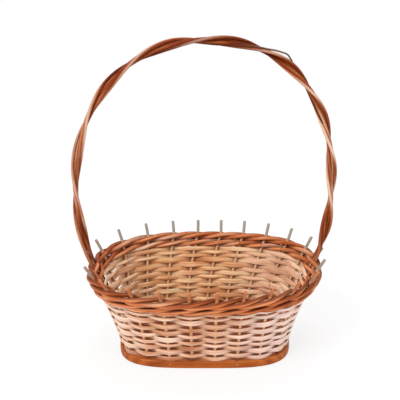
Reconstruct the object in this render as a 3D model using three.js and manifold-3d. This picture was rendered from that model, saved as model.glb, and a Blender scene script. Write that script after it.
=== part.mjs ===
// Oval wicker gift basket: a drilled wooden base board, round stakes, split willow weavers,
// a waled border of stained rods and a roped willow handle.
// Millimetres, +Z up, +X along the basket, -Y to the front. Origin under the middle of the board.

import * as THREE from 'three';
import { mergeVertices } from 'three/addons/utils/BufferGeometryUtils.js';
import Module from 'manifold-3d';

const wasm = await Module();
wasm.setup();

// Base board
const boardLength = 233;
const boardWidth = 181;
const boardThickness = 9.5;
const boardSquareness = 3.66;
const boardEdgeRound = 1.6;
const boardOutlineSteps = 52;
const holeSides = 6;

// Stakes
const stakeCount = 23;
const stakeDiameter = 4.2;
const stakeSides = 6;
const stakeStubHeight = 15;
const stakeStubLean = 0.6;
const stakeFootCover = 1;
const stakeTurnShare = 0.0194;
const stakeSideways = 8.8;
const rimEndSpreadShare = 0.065;
const rimLeftSpreadShare = 0.085;

// Rim, measured along the middle of the wall at the top of the border
const rimEndFlare = 37.8;
const rimSideFlare = 31;
const rimSquareness = 2.41;
const rimHeight = 112;
const wallBowShare = 0.42;

// Weavers, and how the rows of the weave share the height of the wall, from the board up
const weaverPassCount = 28;
const weaverThickness = 1.6;
const weaverRowGap = 0.5;
const weaverBellyShare = 1.28;
const weaverEdgeSetback = 1.4;
const weaverFloorGap = 0.7;
const weaverClimbStakeCount = 3;
const weaverRowShares = [1, 1, 1.2, 1.1, 0.75, 0.8, 1.2, 0.95, 1.2, 0.95, 1.3, 1.35, 0.8, 0.8, 0.85];

// Border
const borderRounds = 2;
const borderRodsPerRound = 3;
const borderRodDiameter = 5;
const borderRodSides = 5;
const borderMidBulge = 0.8;
const borderShiftStakeCount = 8;

// Handle
const handleRodDiameter = 3.8;
const handleRodSides = 6;
const handleSteps = 62;
const handleRodStagger = 1.1;
const handleLegHeight = 103;
const handleLeftBulge = 16.6;
const handleRightBulge = 18.4;
const handleArchRise = 200.5;
const handleLeftSquareness = 2.08;
const handleRightSquareness = 2.35;
const handleHalfTurns = 9;
const handleTwistSkewShare = 0.17;
const handleTwistStop = 15;
const handleFanHeight = 28;
const handleStaggerStartShare = 0.35;
const handleStaggerEndShare = 0.7;
const handleCloseStartShare = 0.6;
const handleNearFootHeight = 34;
const handleFarFootHeight = 62;
const handleRightStakeIndex = 0;
const handleLeftStakeIndex = 11;

// The thin rod that has sprung out of the handle
const strayRodDiameter = 2;
const strayRodSides = 5;
const strayRodPeakTurns = 5.45;
const strayRodBefore = 140;
const strayRodAfter = 100;
const strayRodRise = 26;
const strayRodReturn = 14;
const strayRodLift = 4;
const strayRodKink = 1.4;
const strayRodSteps = 38;

// Brads that pin every third stake through the edge of the board
const bradEvery = 3;
const bradShankDiameter = 1.4;
const bradHeadDiameter = 2.6;
const bradHeadThickness = 0.6;
const bradHeight = 4.75;

// Clearance between pieces that touch on the real basket, and between two strand ends that meet
const fit = 0.3;
const strandEndGap = 0.8;

const stakeRadius = stakeDiameter / 2;
const rodRadius = handleRodDiameter / 2;
const borderRadius = borderRodDiameter / 2;
const borderStrandPitch = borderRodDiameter + fit;
const stakeInset = stakeRadius + fit + weaverThickness + weaverEdgeSetback;
const rimLength = boardLength + 2 * rimEndFlare;
const rimWidth = boardWidth + 2 * rimSideFlare;
const fullTurn = 2 * Math.PI;

const stained = { color: 0x9c5a34, roughness: 0.55, metalness: 0 };
const materials = {
  base: new THREE.MeshStandardMaterial({ color: 0xb1602f, roughness: 0.5, metalness: 0 }),
  stake: new THREE.MeshStandardMaterial({ color: 0xbf8c66, roughness: 0.7, metalness: 0 }),
  weaver: new THREE.MeshStandardMaterial({ color: 0xcfa384, roughness: 0.65, metalness: 0 }),
  border: new THREE.MeshStandardMaterial(stained),
  handle: new THREE.MeshStandardMaterial({ ...stained, color: 0x92563a }),
  brad: new THREE.MeshStandardMaterial({ color: 0xb9b4aa, roughness: 0.35, metalness: 1 }),
};

const basket = new THREE.Group();

function addPiece(name, geometry, material) {
  const mesh = new THREE.Mesh(geometry, material.clone());
  mesh.name = name;
  basket.add(mesh);
}

// An oval outline with squarish corners, read by its share of the way round from +X
function ovalOutline(length, width, squareness) {
  const samples = 1440;
  const pointAt = (angle) => {
    const c = Math.cos(angle);
    const s = Math.sin(angle);
    return new THREE.Vector2(
      (length / 2) * Math.sign(c) * Math.abs(c) ** (2 / squareness),
      (width / 2) * Math.sign(s) * Math.abs(s) ** (2 / squareness),
    );
  };
  const points = [];
  const travelled = [0];
  for (let i = 0; i <= samples; i += 1) {
    points.push(pointAt((fullTurn * i) / samples));
    if (i > 0) {
      travelled.push(travelled[i - 1] + points[i].distanceTo(points[i - 1]));
    }
  }
  const perimeter = travelled[samples];
  const at = (turn) => {
    const wanted = (turn - Math.floor(turn)) * perimeter;
    let low = 0;
    let high = samples;
    while (high - low > 1) {
      const middle = (low + high) >> 1;
      if (travelled[middle] <= wanted) {
        low = middle;
      } else {
        high = middle;
      }
    }
    const share = (wanted - travelled[low]) / (travelled[high] - travelled[low]);
    return points[low].clone().lerp(points[high], share);
  };
  return { at, perimeter };
}

const boardOutline = ovalOutline(boardLength, boardWidth, boardSquareness);
const footOutline = ovalOutline(boardLength - 2 * stakeInset, boardWidth - 2 * stakeInset, boardSquareness);
const rimOutline = ovalOutline(rimLength, rimWidth, rimSquareness);

// Places round the wall are counted in stakes, so 2.5 is halfway from stake 2 to stake 3
function footPoint(place) {
  return footOutline.at(place / stakeCount + stakeTurnShare + stakeSideways / footOutline.perimeter);
}

function rimPoint(place) {
  const even = place / stakeCount + stakeTurnShare;
  const ends = rimEndSpreadShare * Math.sin(2 * fullTurn * even);
  const left = rimLeftSpreadShare * Math.sin(fullTurn * even);
  return rimOutline.at(even + (ends - left) / fullTurn);
}

function rimOutward(place) {
  const step = 0.05;
  const along = rimPoint(place + step).sub(rimPoint(place - step)).normalize();
  return new THREE.Vector2(along.y, -along.x);
}

// The middle of the wall: upright in the board, bowing out to the rim, then leaning out in the stubs
function wallPoint(place, height) {
  const rise = Math.min(1, Math.max(0, (height - boardThickness) / (rimHeight - boardThickness)));
  const flare = rise * (1 - wallBowShare + wallBowShare * rise);
  const stub = Math.max(0, height - rimHeight);
  const flat = footPoint(place).lerp(rimPoint(place), flare);
  flat.addScaledVector(rimOutward(place), stakeStubLean * stub);
  return new THREE.Vector3(flat.x, flat.y, height);
}

// Directions at a place on the wall: along it, up it and out of it
function wallFrame(place, height) {
  const step = 0.05;
  const rise = Math.max(height, boardThickness + step);
  const along = wallPoint(place + step, rise).sub(wallPoint(place - step, rise)).normalize();
  const up = wallPoint(place, rise + step).sub(wallPoint(place, rise - step)).normalize();
  const out = along.clone().cross(up).normalize();
  return { along, up, out };
}

function stakeSpacing(place, height) {
  const step = 0.05;
  return wallPoint(place + step, height).distanceTo(wallPoint(place - step, height)) / (2 * step);
}

// A closed body through a list of rings, each ring a list of points in the same order
function loft(rings) {
  const sides = rings[0].length;
  const positions = rings.flat().flatMap((point) => [point.x, point.y, point.z]);
  const indices = [];
  for (let r = 0; r < rings.length - 1; r += 1) {
    for (let s = 0; s < sides; s += 1) {
      const a = r * sides + s;
      const b = r * sides + ((s + 1) % sides);
      indices.push(a, b, b + sides);
      indices.push(a, b + sides, a + sides);
    }
  }
  const last = (rings.length - 1) * sides;
  for (let s = 1; s < sides - 1; s += 1) {
    indices.push(0, s + 1, s);
    indices.push(last, last + s, last + s + 1);
  }
  const geometry = new THREE.BufferGeometry();
  geometry.setAttribute('position', new THREE.Float32BufferAttribute(positions, 3));
  geometry.setIndex(indices);
  return geometry;
}

function roundRing(centre, first, second, radius, sides) {
  const ring = [];
  for (let s = 0; s < sides; s += 1) {
    const angle = (fullTurn * (s + 0.5)) / sides;
    ring.push(
      centre.clone()
        .addScaledVector(first, radius * Math.cos(angle))
        .addScaledVector(second, radius * Math.sin(angle)),
    );
  }
  return ring;
}

// Handle rods that flank the two end stakes inside the wall: how far each lies from the stake
const nearRodOffset = stakeRadius + fit + rodRadius;
const farRodOffset = nearRodOffset + handleRodDiameter + fit;

function isHandleStake(stake) {
  const wrapped = ((stake % stakeCount) + stakeCount) % stakeCount;
  return wrapped === handleRightStakeIndex || wrapped === handleLeftStakeIndex;
}

// Half the width that a weaver has to keep clear of at a stake, and how thick what stands there is
function standingAt(stake, height, margin) {
  if (!isHandleStake(stake) || height < handleNearFootHeight - margin) {
    return { halfWidth: 0, radius: stakeRadius };
  }
  const offset = height < handleFarFootHeight - margin ? nearRodOffset : farRodOffset;
  return { halfWidth: offset + rodRadius + fit, radius: Math.max(stakeRadius, rodRadius) };
}

function makeBoard() {
  const outline = ovalOutline(
    boardLength - 2 * boardEdgeRound,
    boardWidth - 2 * boardEdgeRound,
    boardSquareness,
  );
  const shape = new THREE.Shape();
  for (let i = 0; i < boardOutlineSteps; i += 1) {
    const point = outline.at(i / boardOutlineSteps);
    if (i === 0) {
      shape.moveTo(point.x, point.y);
    } else {
      shape.lineTo(point.x, point.y);
    }
  }
  shape.closePath();
  const geometry = new THREE.ExtrudeGeometry(shape, {
    depth: boardThickness - 2 * boardEdgeRound,
    bevelEnabled: true,
    bevelThickness: boardEdgeRound,
    bevelSize: boardEdgeRound,
    bevelSegments: 1,
    curveSegments: 1,
  });
  geometry.translate(0, 0, boardEdgeRound);
  return geometry;
}

function toSolid(geometry) {
  const bare = geometry.clone();
  bare.deleteAttribute('normal');
  bare.deleteAttribute('uv');
  const merged = mergeVertices(bare, 1e-4);
  return new wasm.Manifold(
    new wasm.Mesh({
      numProp: 3,
      vertProperties: new Float32Array(merged.attributes.position.array),
      triVerts: new Uint32Array(merged.index.array),
    }),
  );
}

function fromSolid(solid) {
  const mesh = solid.getMesh();
  const geometry = new THREE.BufferGeometry();
  geometry.setAttribute('position', new THREE.Float32BufferAttribute(mesh.vertProperties, 3));
  geometry.setIndex(Array.from(mesh.triVerts));
  return geometry;
}

// An upright hole through the board for one stake
function stakeHole(stake) {
  const radius = (stakeRadius + fit) / Math.cos(Math.PI / holeSides);
  const hole = new THREE.CylinderGeometry(radius, radius, 2 * boardThickness, holeSides);
  hole.rotateX(Math.PI / 2);
  const foot = footPoint(stake);
  hole.translate(foot.x, foot.y, boardThickness / 2);
  return hole;
}

// Where a brad enters the edge of the board, and the way it points
function bradSeat(stake) {
  const foot = footPoint(stake);
  const { out } = wallFrame(stake, 0);
  const outward = new THREE.Vector3(out.x, out.y, 0).normalize();
  const start = new THREE.Vector3(foot.x, foot.y, bradHeight);
  let reach = Infinity;
  const steps = 720;
  for (let i = 0; i < steps; i += 1) {
    const point = boardOutline.at(i / steps);
    const apart = new THREE.Vector2(point.x - foot.x, point.y - foot.y);
    const forward = apart.x * outward.x + apart.y * outward.y;
    const sideways = Math.abs(apart.x * outward.y - apart.y * outward.x);
    if (forward > 0 && sideways < bradHeadDiameter / 2) {
      reach = Math.min(reach, forward);
    }
  }
  return { start, outward, reach };
}

function alongDirection(geometry, direction, from) {
  const turn = new THREE.Quaternion().setFromUnitVectors(new THREE.Vector3(0, 1, 0), direction);
  geometry.applyQuaternion(turn);
  geometry.translate(from.x, from.y, from.z);
  return geometry;
}

// The way for a brad: its shank from the stake hole outwards, and a shallow seat for its head
function bradHole(stake) {
  const { start, outward, reach } = bradSeat(stake);
  const headRadius = bradHeadDiameter / 2 + fit;
  const shankRadius = bradShankDiameter / 2 + fit;
  const seat = reach - bradHeadThickness - fit;
  const profile = [
    new THREE.Vector2(0, 0),
    new THREE.Vector2(shankRadius, 0),
    new THREE.Vector2(shankRadius, seat),
    new THREE.Vector2(headRadius, seat),
    new THREE.Vector2(headRadius, reach + headRadius),
    new THREE.Vector2(0, reach + headRadius),
  ];
  return alongDirection(new THREE.LatheGeometry(profile, holeSides), outward, start);
}

function makeBrad(stake) {
  const { start, outward, reach } = bradSeat(stake);
  const tip = stakeRadius + fit;
  const head = reach - bradHeadThickness;
  const profile = [
    new THREE.Vector2(0, tip),
    new THREE.Vector2(bradShankDiameter / 2, tip),
    new THREE.Vector2(bradShankDiameter / 2, head),
    new THREE.Vector2(bradHeadDiameter / 2, head),
    new THREE.Vector2(bradHeadDiameter / 2, reach),
    new THREE.Vector2(0, reach),
  ];
  return alongDirection(new THREE.LatheGeometry(profile, holeSides), outward, start);
}

function addBoardAndBrads() {
  let board = toSolid(makeBoard());
  for (let stake = 0; stake < stakeCount; stake += 1) {
    board = board.subtract(toSolid(stakeHole(stake)));
  }
  let brads = 0;
  for (let stake = 0; stake < stakeCount; stake += bradEvery) {
    board = board.subtract(toSolid(bradHole(stake)));
    brads += 1;
    addPiece(`brad_${brads}`, makeBrad(stake), materials.brad);
  }
  addPiece('base_board', fromSolid(board), materials.base);
}

function makeStake(stake) {
  const top = rimHeight + stakeStubHeight;
  const heights = [stakeFootCover, boardThickness];
  const lengths = 6;
  for (let i = 1; i <= lengths; i += 1) {
    heights.push(boardThickness + ((top - boardThickness) * i) / lengths);
  }
  const rings = heights.map((height) => {
    const { along, up } = wallFrame(stake, height);
    const inBoard = height <= boardThickness;
    const level = new THREE.Vector3(along.x, along.y, 0).normalize();
    const axis = inBoard ? new THREE.Vector3(0, 0, 1) : up;
    const inward = axis.clone().cross(level).normalize();
    return roundRing(wallPoint(stake, height), level, inward, stakeRadius, stakeSides);
  });
  return loft(rings);
}

// How steeply the wall stands just below the rim, where it is steepest
function rimSteepness() {
  let steepest = 0;
  for (let stake = 0; stake < stakeCount; stake += 1) {
    steepest = Math.max(steepest, wallFrame(stake, rimHeight - borderRodDiameter).up.z);
  }
  return steepest;
}

// The rows of the weave: how much of the wall each one takes, and how high its middle lies
const borderStrandRise = borderStrandPitch * rimSteepness();
const borderHeight = (2 * borderRounds - 1) * borderStrandRise + borderRodDiameter;
const weaveBottom = boardThickness + weaverFloorGap;
const weaveTop = rimHeight - borderHeight - fit;

function weaveRows() {
  const firstShare = weaverRowShares[0];
  const lastShare = weaverRowShares[weaverRowShares.length - 1];
  const edges = ((weaverBellyShare - 1) * (firstShare + lastShare)) / 2;
  const total = weaverRowShares.reduce((sum, share) => sum + share, edges);
  const unit = (weaveTop - weaveBottom) / total;
  const rows = [];
  let top = weaveBottom + ((weaverBellyShare - 1) * firstShare * unit) / 2;
  for (const share of weaverRowShares) {
    rows.push({ pitch: share * unit, middle: top + (share * unit) / 2 });
    top += share * unit;
  }
  return rows;
}

const rows = weaveRows();
const weavePasses = 2 * Math.floor((rows.length * stakeCount - weaverClimbStakeCount) / 2);
const weaverCount = Math.ceil(weavePasses / weaverPassCount);

// Each round lies level and climbs to the next row past the last few stakes
function weaveLevel(pass) {
  const round = Math.floor(pass / stakeCount);
  const left = (round + 1) * stakeCount - pass;
  const climbed = Math.max(0, 1 - left / weaverClimbStakeCount);
  const row = rows[round];
  const next = rows[Math.min(round + 1, rows.length - 1)];
  return {
    height: THREE.MathUtils.lerp(row.middle, next.middle, climbed),
    pitch: THREE.MathUtils.lerp(row.pitch, next.pitch, climbed),
  };
}

function weaverRing(pass, offset, widthShare) {
  const { height, pitch } = weaveLevel(pass);
  const { up, out } = wallFrame(pass, height);
  const centre = wallPoint(pass, height).addScaledVector(out, offset);
  const width = (pitch / up.z - weaverRowGap) * widthShare;
  const corners = [[-1, 1], [1, 1], [1, -1], [-1, -1]];
  return corners.map(([outSide, upSide]) => centre.clone()
    .addScaledVector(out, (outSide * weaverThickness) / 2)
    .addScaledVector(up, (upSide * width) / 2));
}

// A weaver passes inside one stake and outside the next, wide at the stake and narrow between
function makeWeaver(index) {
  const first = index * weaverPassCount;
  const last = Math.min(first + weaverPassCount, weavePasses);
  const rings = [];
  for (let pass = first; pass <= last; pass += 1) {
    const side = pass % 2 === 0 ? -1 : 1;
    const { height, pitch } = weaveLevel(pass);
    const standing = standingAt(pass, height, pitch);
    const spacing = stakeSpacing(pass, height);
    const offset = side * (standing.radius + fit + weaverThickness / 2);
    const isEnd = pass === first || pass === last;
    const half = Math.max(standing.halfWidth, isEnd ? strandEndGap / 2 : 0) / spacing;
    if (pass > first && half > 0) {
      rings.push(weaverRing(pass - half, offset, weaverBellyShare));
    }
    if (!isEnd) {
      rings.push(weaverRing(pass, offset, weaverBellyShare));
    }
    if (pass < last && half > 0) {
      rings.push(weaverRing(pass + half, offset, weaverBellyShare));
    }
    if (pass < last) {
      rings.push(weaverRing(pass + 0.5, 0, 1));
    }
  }
  return loft(rings);
}

// Each border rod passes outside two stakes, rising, and then inside the third
function borderStroke(phase) {
  const half = borderStrandPitch / 2;
  if (phase === 0) {
    return { side: 1, lift: -half, midSide: 1, midLift: 0 };
  }
  if (phase === 1) {
    return { side: 1, lift: half, midSide: 0, midLift: half };
  }
  return { side: -1, lift: 0, midSide: 0, midLift: -half };
}

function borderRing(place, height, offset) {
  const { up, out } = wallFrame(place, height);
  const centre = wallPoint(place, height).addScaledVector(out, offset);
  return roundRing(centre, out, up.negate(), borderRadius, borderRodSides);
}

function makeBorderRod(round, rod) {
  const middle = rimHeight - borderHeight + borderRadius + borderStrandRise * (2 * round + 0.5);
  const shift = round * borderShiftStakeCount;
  const insidePhase = borderRodsPerRound - 1;
  const start = rod + insidePhase;
  const nextRod = (rod + 1) % borderRodsPerRound;
  const end = stakeCount + nextRod + insidePhase;
  const rings = [];
  for (let stroke = start; stroke <= end; stroke += 1) {
    const place = stroke + shift;
    const { side, lift, midSide, midLift } = borderStroke((stroke - rod) % borderRodsPerRound);
    const standing = standingAt(place, middle, 0);
    const spacing = stakeSpacing(place, middle);
    const offset = side * (standing.radius + fit + borderRadius);
    const isEnd = stroke === start || stroke === end;
    const half = Math.max(standing.halfWidth, isEnd ? strandEndGap / 2 : 0) / spacing;
    if (stroke > start && half > 0) {
      rings.push(borderRing(place - half, middle + lift, offset));
    }
    if (!isEnd) {
      rings.push(borderRing(place, middle + lift, offset));
    }
    if (stroke < end && half > 0) {
      rings.push(borderRing(place + half, middle + lift, offset));
    }
    if (stroke < end) {
      const midOffset = midSide * (stakeRadius + fit + borderRadius + borderMidBulge);
      rings.push(borderRing(place + 0.5, middle + midLift, midOffset));
    }
  }
  return loft(rings);
}

// The handle's middle line: two legs that lean out from the rim, joined by an arch with a fuller right half
const handleRightEnd = wallPoint(handleRightStakeIndex, rimHeight);
const handleLeftEnd = wallPoint(handleLeftStakeIndex, rimHeight);
const handleCentre = handleRightEnd.clone().add(handleLeftEnd).multiplyScalar(0.5);
const handleAcross = handleRightEnd.clone().sub(handleLeftEnd);
const handleHalfSpan = handleAcross.length() / 2;
handleAcross.normalize();
const handleBack = new THREE.Vector3(0, 0, 1).cross(handleAcross);

function handlePoint(across, height) {
  return handleCentre.clone()
    .addScaledVector(handleAcross, across)
    .add(new THREE.Vector3(0, 0, height - rimHeight));
}

// One leg from the rim up to where the arch starts, on the side that the sign gives
function handleLeg(side, bulge) {
  const points = [];
  const legSteps = 5;
  for (let i = 0; i < legSteps; i += 1) {
    const below = 1 - i / legSteps;
    const across = side * (handleHalfSpan + bulge - bulge * below * below);
    points.push(handlePoint(across, rimHeight + handleLegHeight * (1 - below)));
  }
  return points;
}

function handleArch() {
  const points = [];
  const archSteps = 24;
  for (let i = 0; i <= archSteps; i += 1) {
    const angle = Math.PI * (1 - i / archSteps);
    const onLeft = 2 * i < archSteps;
    const widest = handleHalfSpan + (onLeft ? handleLeftBulge : handleRightBulge);
    const power = 2 / (onLeft ? handleLeftSquareness : handleRightSquareness);
    const across = (onLeft ? -1 : 1) * widest * Math.abs(Math.cos(angle)) ** power;
    const rise = handleArchRise * Math.abs(Math.sin(angle)) ** power;
    points.push(handlePoint(across, rimHeight + handleLegHeight + rise));
  }
  return points;
}

function handleLine() {
  const leftLeg = handleLeg(-1, handleLeftBulge);
  const rightLeg = handleLeg(1, handleRightBulge).reverse();
  const points = [...leftLeg, ...handleArch(), ...rightLeg];
  return new THREE.CatmullRomCurve3(points, false, 'centripetal');
}

const handleCurve = handleLine();
const handleLength = handleCurve.getLength();

const handleTwistLength = handleLength - handleTwistStop;

// The rods are twisted tighter towards the right, and stay untwisted just above the right rim
function ropeTurns(distance) {
  const share = Math.min(1, distance / handleTwistLength);
  return handleHalfTurns * share * (1 - handleTwistSkewShare + handleTwistSkewShare * share);
}

// The distance at which that many half turns have been made
function ropeDistance(turns) {
  const start = 1 - handleTwistSkewShare;
  const made = turns / handleHalfTurns;
  return (2 * made * handleTwistLength) / (start + Math.sqrt(start ** 2 + 4 * handleTwistSkewShare * made));
}

// A point of the rope of rods: how far along the handle, then its place in the turning section
function ropePoint(distance, wide, thin) {
  const share = distance / handleLength;
  const tangent = handleCurve.getTangentAt(share);
  const outward = tangent.clone().cross(handleBack);
  const angle = -Math.PI * ropeTurns(distance);
  const wideAxis = handleBack.clone().multiplyScalar(Math.cos(angle)).addScaledVector(outward, Math.sin(angle));
  const thinAxis = handleBack.clone().multiplyScalar(-Math.sin(angle)).addScaledVector(outward, Math.cos(angle));
  return handleCurve.getPointAt(share)
    .addScaledVector(wideAxis, wide)
    .addScaledVector(thinAxis, thin);
}

// The four rods lie side by side, every other one a little in front, so they make a flat rope
const rodPitch = handleRodDiameter + fit;
const rodSpacing = Math.sqrt(rodPitch ** 2 - (2 * handleRodStagger) ** 2);
const handleRods = [
  { wide: -1.5 * rodSpacing, thin: -handleRodStagger, fan: -farRodOffset, foot: handleFarFootHeight },
  { wide: -0.5 * rodSpacing, thin: handleRodStagger, fan: -nearRodOffset, foot: handleNearFootHeight },
  { wide: 0.5 * rodSpacing, thin: -handleRodStagger, fan: nearRodOffset, foot: handleNearFootHeight },
  { wide: 1.5 * rodSpacing, thin: handleRodStagger, fan: farRodOffset, foot: handleFarFootHeight },
];

function smoothBetween(value, start, end) {
  const held = Math.min(1, Math.max(0, (value - start) / (end - start)));
  return held * held * (3 - 2 * held);
}

// Inside the wall a rod runs beside the end stake, down to its foot
function footRun(rod, stake, fan) {
  const points = [];
  const runSteps = 4;
  const top = rimHeight - borderStrandPitch;
  for (let i = 0; i <= runSteps; i += 1) {
    const height = rod.foot + ((top - rod.foot) * i) / runSteps;
    points.push(wallPoint(stake + fan / stakeSpacing(stake, height), height));
  }
  return points;
}

// Above the rim the fan of rods first takes its stagger and then closes into the rope
function makeHandleRod(rod) {
  const reversed = handleHalfTurns % 2 === 1 ? -1 : 1;
  const points = footRun(rod, handleLeftStakeIndex, -rod.fan);
  for (let i = 1; i < handleSteps; i += 1) {
    const distance = (handleLength * i) / handleSteps;
    const closing = Math.min(distance, handleLength - distance) / handleFanHeight;
    const staggered = smoothBetween(closing, handleStaggerStartShare, handleStaggerEndShare);
    const closed = smoothBetween(closing, handleCloseStartShare, 1);
    const wide = THREE.MathUtils.lerp(rod.fan, rod.wide, closed);
    points.push(ropePoint(distance, wide, rod.thin * staggered));
  }
  points.push(...footRun(rod, handleRightStakeIndex, reversed * rod.fan).reverse());
  return rodAlong(points, handleRodDiameter, handleRodSides, points.length);
}

function rodAlong(points, diameter, sides, steps) {
  const section = new THREE.Shape();
  for (let s = 0; s < sides; s += 1) {
    const angle = (fullTurn * s) / sides;
    const x = (diameter / 2) * Math.cos(angle);
    const y = (diameter / 2) * Math.sin(angle);
    if (s === 0) {
      section.moveTo(x, y);
    } else {
      section.lineTo(x, y);
    }
  }
  section.closePath();
  const extrudePath = new THREE.CatmullRomCurve3(points, false, 'centripetal');
  return new THREE.ExtrudeGeometry(section, { steps, bevelEnabled: false, curveSegments: 1, extrudePath });
}

// The thin rod lies in the notch between the last two rods and springs away over a short stretch
function makeStrayRod() {
  const reach = rodRadius + fit + strayRodDiameter / 2;
  const depth = Math.sqrt(reach ** 2 - (rodPitch / 2) ** 2);
  const wide = rodSpacing + (depth * 2 * handleRodStagger) / rodPitch;
  const thin = (-depth * rodSpacing) / rodPitch;
  const peak = ropeDistance(strayRodPeakTurns);
  const points = [];
  for (let i = 0; i <= strayRodSteps; i += 1) {
    const distance = peak - strayRodBefore + ((strayRodBefore + strayRodAfter) * i) / strayRodSteps;
    const run = distance < peak ? strayRodRise : strayRodReturn;
    const away = Math.max(0, 1 - Math.abs(distance - peak) / run);
    const outward = handleCurve.getTangentAt(distance / handleLength).cross(handleBack);
    const lift = strayRodLift * away ** strayRodKink;
    points.push(ropePoint(distance, wide, thin).addScaledVector(outward, lift));
  }
  return rodAlong(points, strayRodDiameter, strayRodSides, strayRodSteps);
}

addBoardAndBrads();

for (let stake = 0; stake < stakeCount; stake += 1) {
  addPiece(`stake_${stake + 1}`, makeStake(stake), materials.stake);
}

for (let index = 0; index < weaverCount; index += 1) {
  addPiece(`weaver_${index + 1}`, makeWeaver(index), materials.weaver);
}

for (let round = 0; round < borderRounds; round += 1) {
  for (let rod = 0; rod < borderRodsPerRound; rod += 1) {
    const number = round * borderRodsPerRound + rod + 1;
    addPiece(`border_rod_${number}`, makeBorderRod(round, rod), materials.border);
  }
}

handleRods.forEach((rod, index) => {
  addPiece(`handle_rod_${index + 1}`, makeHandleRod(rod), materials.handle);
});
addPiece('handle_stray_rod', makeStrayRod(), materials.handle);

export default basket;
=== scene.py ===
import math

import bpy
import numpy as np
from mathutils import Matrix, Vector


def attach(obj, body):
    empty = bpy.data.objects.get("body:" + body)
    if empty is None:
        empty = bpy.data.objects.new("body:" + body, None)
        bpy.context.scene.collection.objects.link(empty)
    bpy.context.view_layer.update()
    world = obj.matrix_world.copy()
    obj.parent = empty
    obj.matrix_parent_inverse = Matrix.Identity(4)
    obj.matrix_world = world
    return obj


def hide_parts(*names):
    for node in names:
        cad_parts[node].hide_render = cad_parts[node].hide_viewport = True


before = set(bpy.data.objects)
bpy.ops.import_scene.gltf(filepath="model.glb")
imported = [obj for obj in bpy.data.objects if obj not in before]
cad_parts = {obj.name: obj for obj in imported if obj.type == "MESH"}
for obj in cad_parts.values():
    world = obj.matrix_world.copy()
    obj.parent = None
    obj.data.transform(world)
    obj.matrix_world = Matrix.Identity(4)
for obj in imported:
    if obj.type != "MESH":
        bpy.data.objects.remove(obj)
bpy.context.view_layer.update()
mm = 0.001
turn = 2 * math.pi

# The wall's shape, in millimetres: the drilled board below, the bowed flare, and the rim above
wallShape = {
    "boardLength": 233, "boardWidth": 181, "boardThickness": 9.5, "boardSquareness": 3.66,
    "stakeCount": 23, "stakeInset": 5.4, "stakeTurn": 0.0194, "stakeSideways": 8.8, "stubLean": 0.6,
    "rimEndSpread": 0.065, "rimLeftSpread": 0.085,
    "rimLength": 308.6, "rimWidth": 243, "rimSquareness": 2.41, "rimHeight": 112, "wallBow": 0.42,
    "rightStake": 0, "leftStake": 11, "ovalSteps": 2880, "nearby": 0.05,
}
w = wallShape
boardTop, rimHeight, stakeCount = w["boardThickness"], w["rimHeight"], w["stakeCount"]


def unit(vectors):
    return vectors / np.linalg.norm(vectors, axis=-1, keepdims=True)


def travelled(points):
    # How far along a line each of its points lies
    return np.concatenate([[0], np.cumsum(np.linalg.norm(np.diff(points, axis=0), axis=-1))])


def readLine(points, lengths, wanted):
    return np.stack([np.interp(wanted, lengths, part) for part in points.T], -1)


def oval(length, width, squareness):
    # An oval with squarish corners, read by its share of the way round from +X
    angle = np.linspace(0, turn, w["ovalSteps"] + 1)
    parts = [size / 2 * np.sign(reach) * np.abs(reach) ** (2 / squareness)
             for size, reach in ((length, np.cos(angle)), (width, np.sin(angle)))]
    outline = np.stack(parts, -1)
    lengths = travelled(outline)
    return lambda share: readLine(outline, lengths, np.mod(share, 1) * lengths[-1]), lengths[-1]


footInset = 2 * w["stakeInset"]
footAt, footRound = oval(w["boardLength"] - footInset, w["boardWidth"] - footInset, w["boardSquareness"])
rimAt = oval(w["rimLength"], w["rimWidth"], w["rimSquareness"])[0]


def footPoint(place):
    return footAt(place / stakeCount + w["stakeTurn"] + w["stakeSideways"] / footRound)


def rimPoint(place):
    even = place / stakeCount + w["stakeTurn"]
    spread = w["rimEndSpread"] * np.sin(2 * turn * even) - w["rimLeftSpread"] * np.sin(turn * even)
    return rimAt(even + spread / turn)


def wallPoint(place, height):
    # Places are counted in stakes, so 2.5 is halfway from the third stake to the fourth
    place, height = np.broadcast_arrays(np.asarray(place, float), np.asarray(height, float))
    rise = np.clip((height - boardTop) / (rimHeight - boardTop), 0, 1)
    flare = (rise * (1 - w["wallBow"] + w["wallBow"] * rise))[..., None]
    along = rimPoint(place + w["nearby"]) - rimPoint(place - w["nearby"])
    outward = unit(np.stack([along[..., 1], -along[..., 0]], -1))
    stub = np.maximum(0, height - rimHeight)[..., None]
    flat = footPoint(place) * (1 - flare) + rimPoint(place) * flare + outward * w["stubLean"] * stub
    return np.concatenate([flat, height[..., None]], -1)


def wallFrame(place, height):
    step = w["nearby"]
    rise = np.maximum(height, boardTop + step)
    along = unit(wallPoint(place + step, rise) - wallPoint(place - step, rise))
    up = unit(wallPoint(place, rise + step) - wallPoint(place, rise - step))
    return along, up, unit(np.cross(along, up))


def stakeSpacing(place, height):
    apart = wallPoint(place + w["nearby"], height) - wallPoint(place - w["nearby"], height)
    return np.linalg.norm(apart, axis=-1) / (2 * w["nearby"])


def slopeStretch(place, height):
    # How much longer the leaning wall is than its height
    rise = np.maximum(height, boardTop + 1)
    return np.linalg.norm(wallPoint(place, rise + 0.5) - wallPoint(place, rise - 0.5), axis=-1)


def smooth(share):
    held = np.clip(share, 0, 1)
    return held * held * (3 - 2 * held)


def smoothBetween(value, start, end):
    return smooth((value - start) / (end - start))


def softNoise(spots, seed, spread=1.0, count=512):
    # A smooth seeded wander along one number, from -1 to 1
    values = np.random.default_rng(seed).uniform(-1, 1, count)
    spots = np.asarray(spots, float) / spread
    cell = np.floor(spots).astype(int)
    share = smooth(spots - cell)
    return values[cell % count] * (1 - share) + values[(cell + 1) % count] * share


def pick(sockets, name):
    return next(s for s in sockets if s.enabled and s.name == name)


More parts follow.
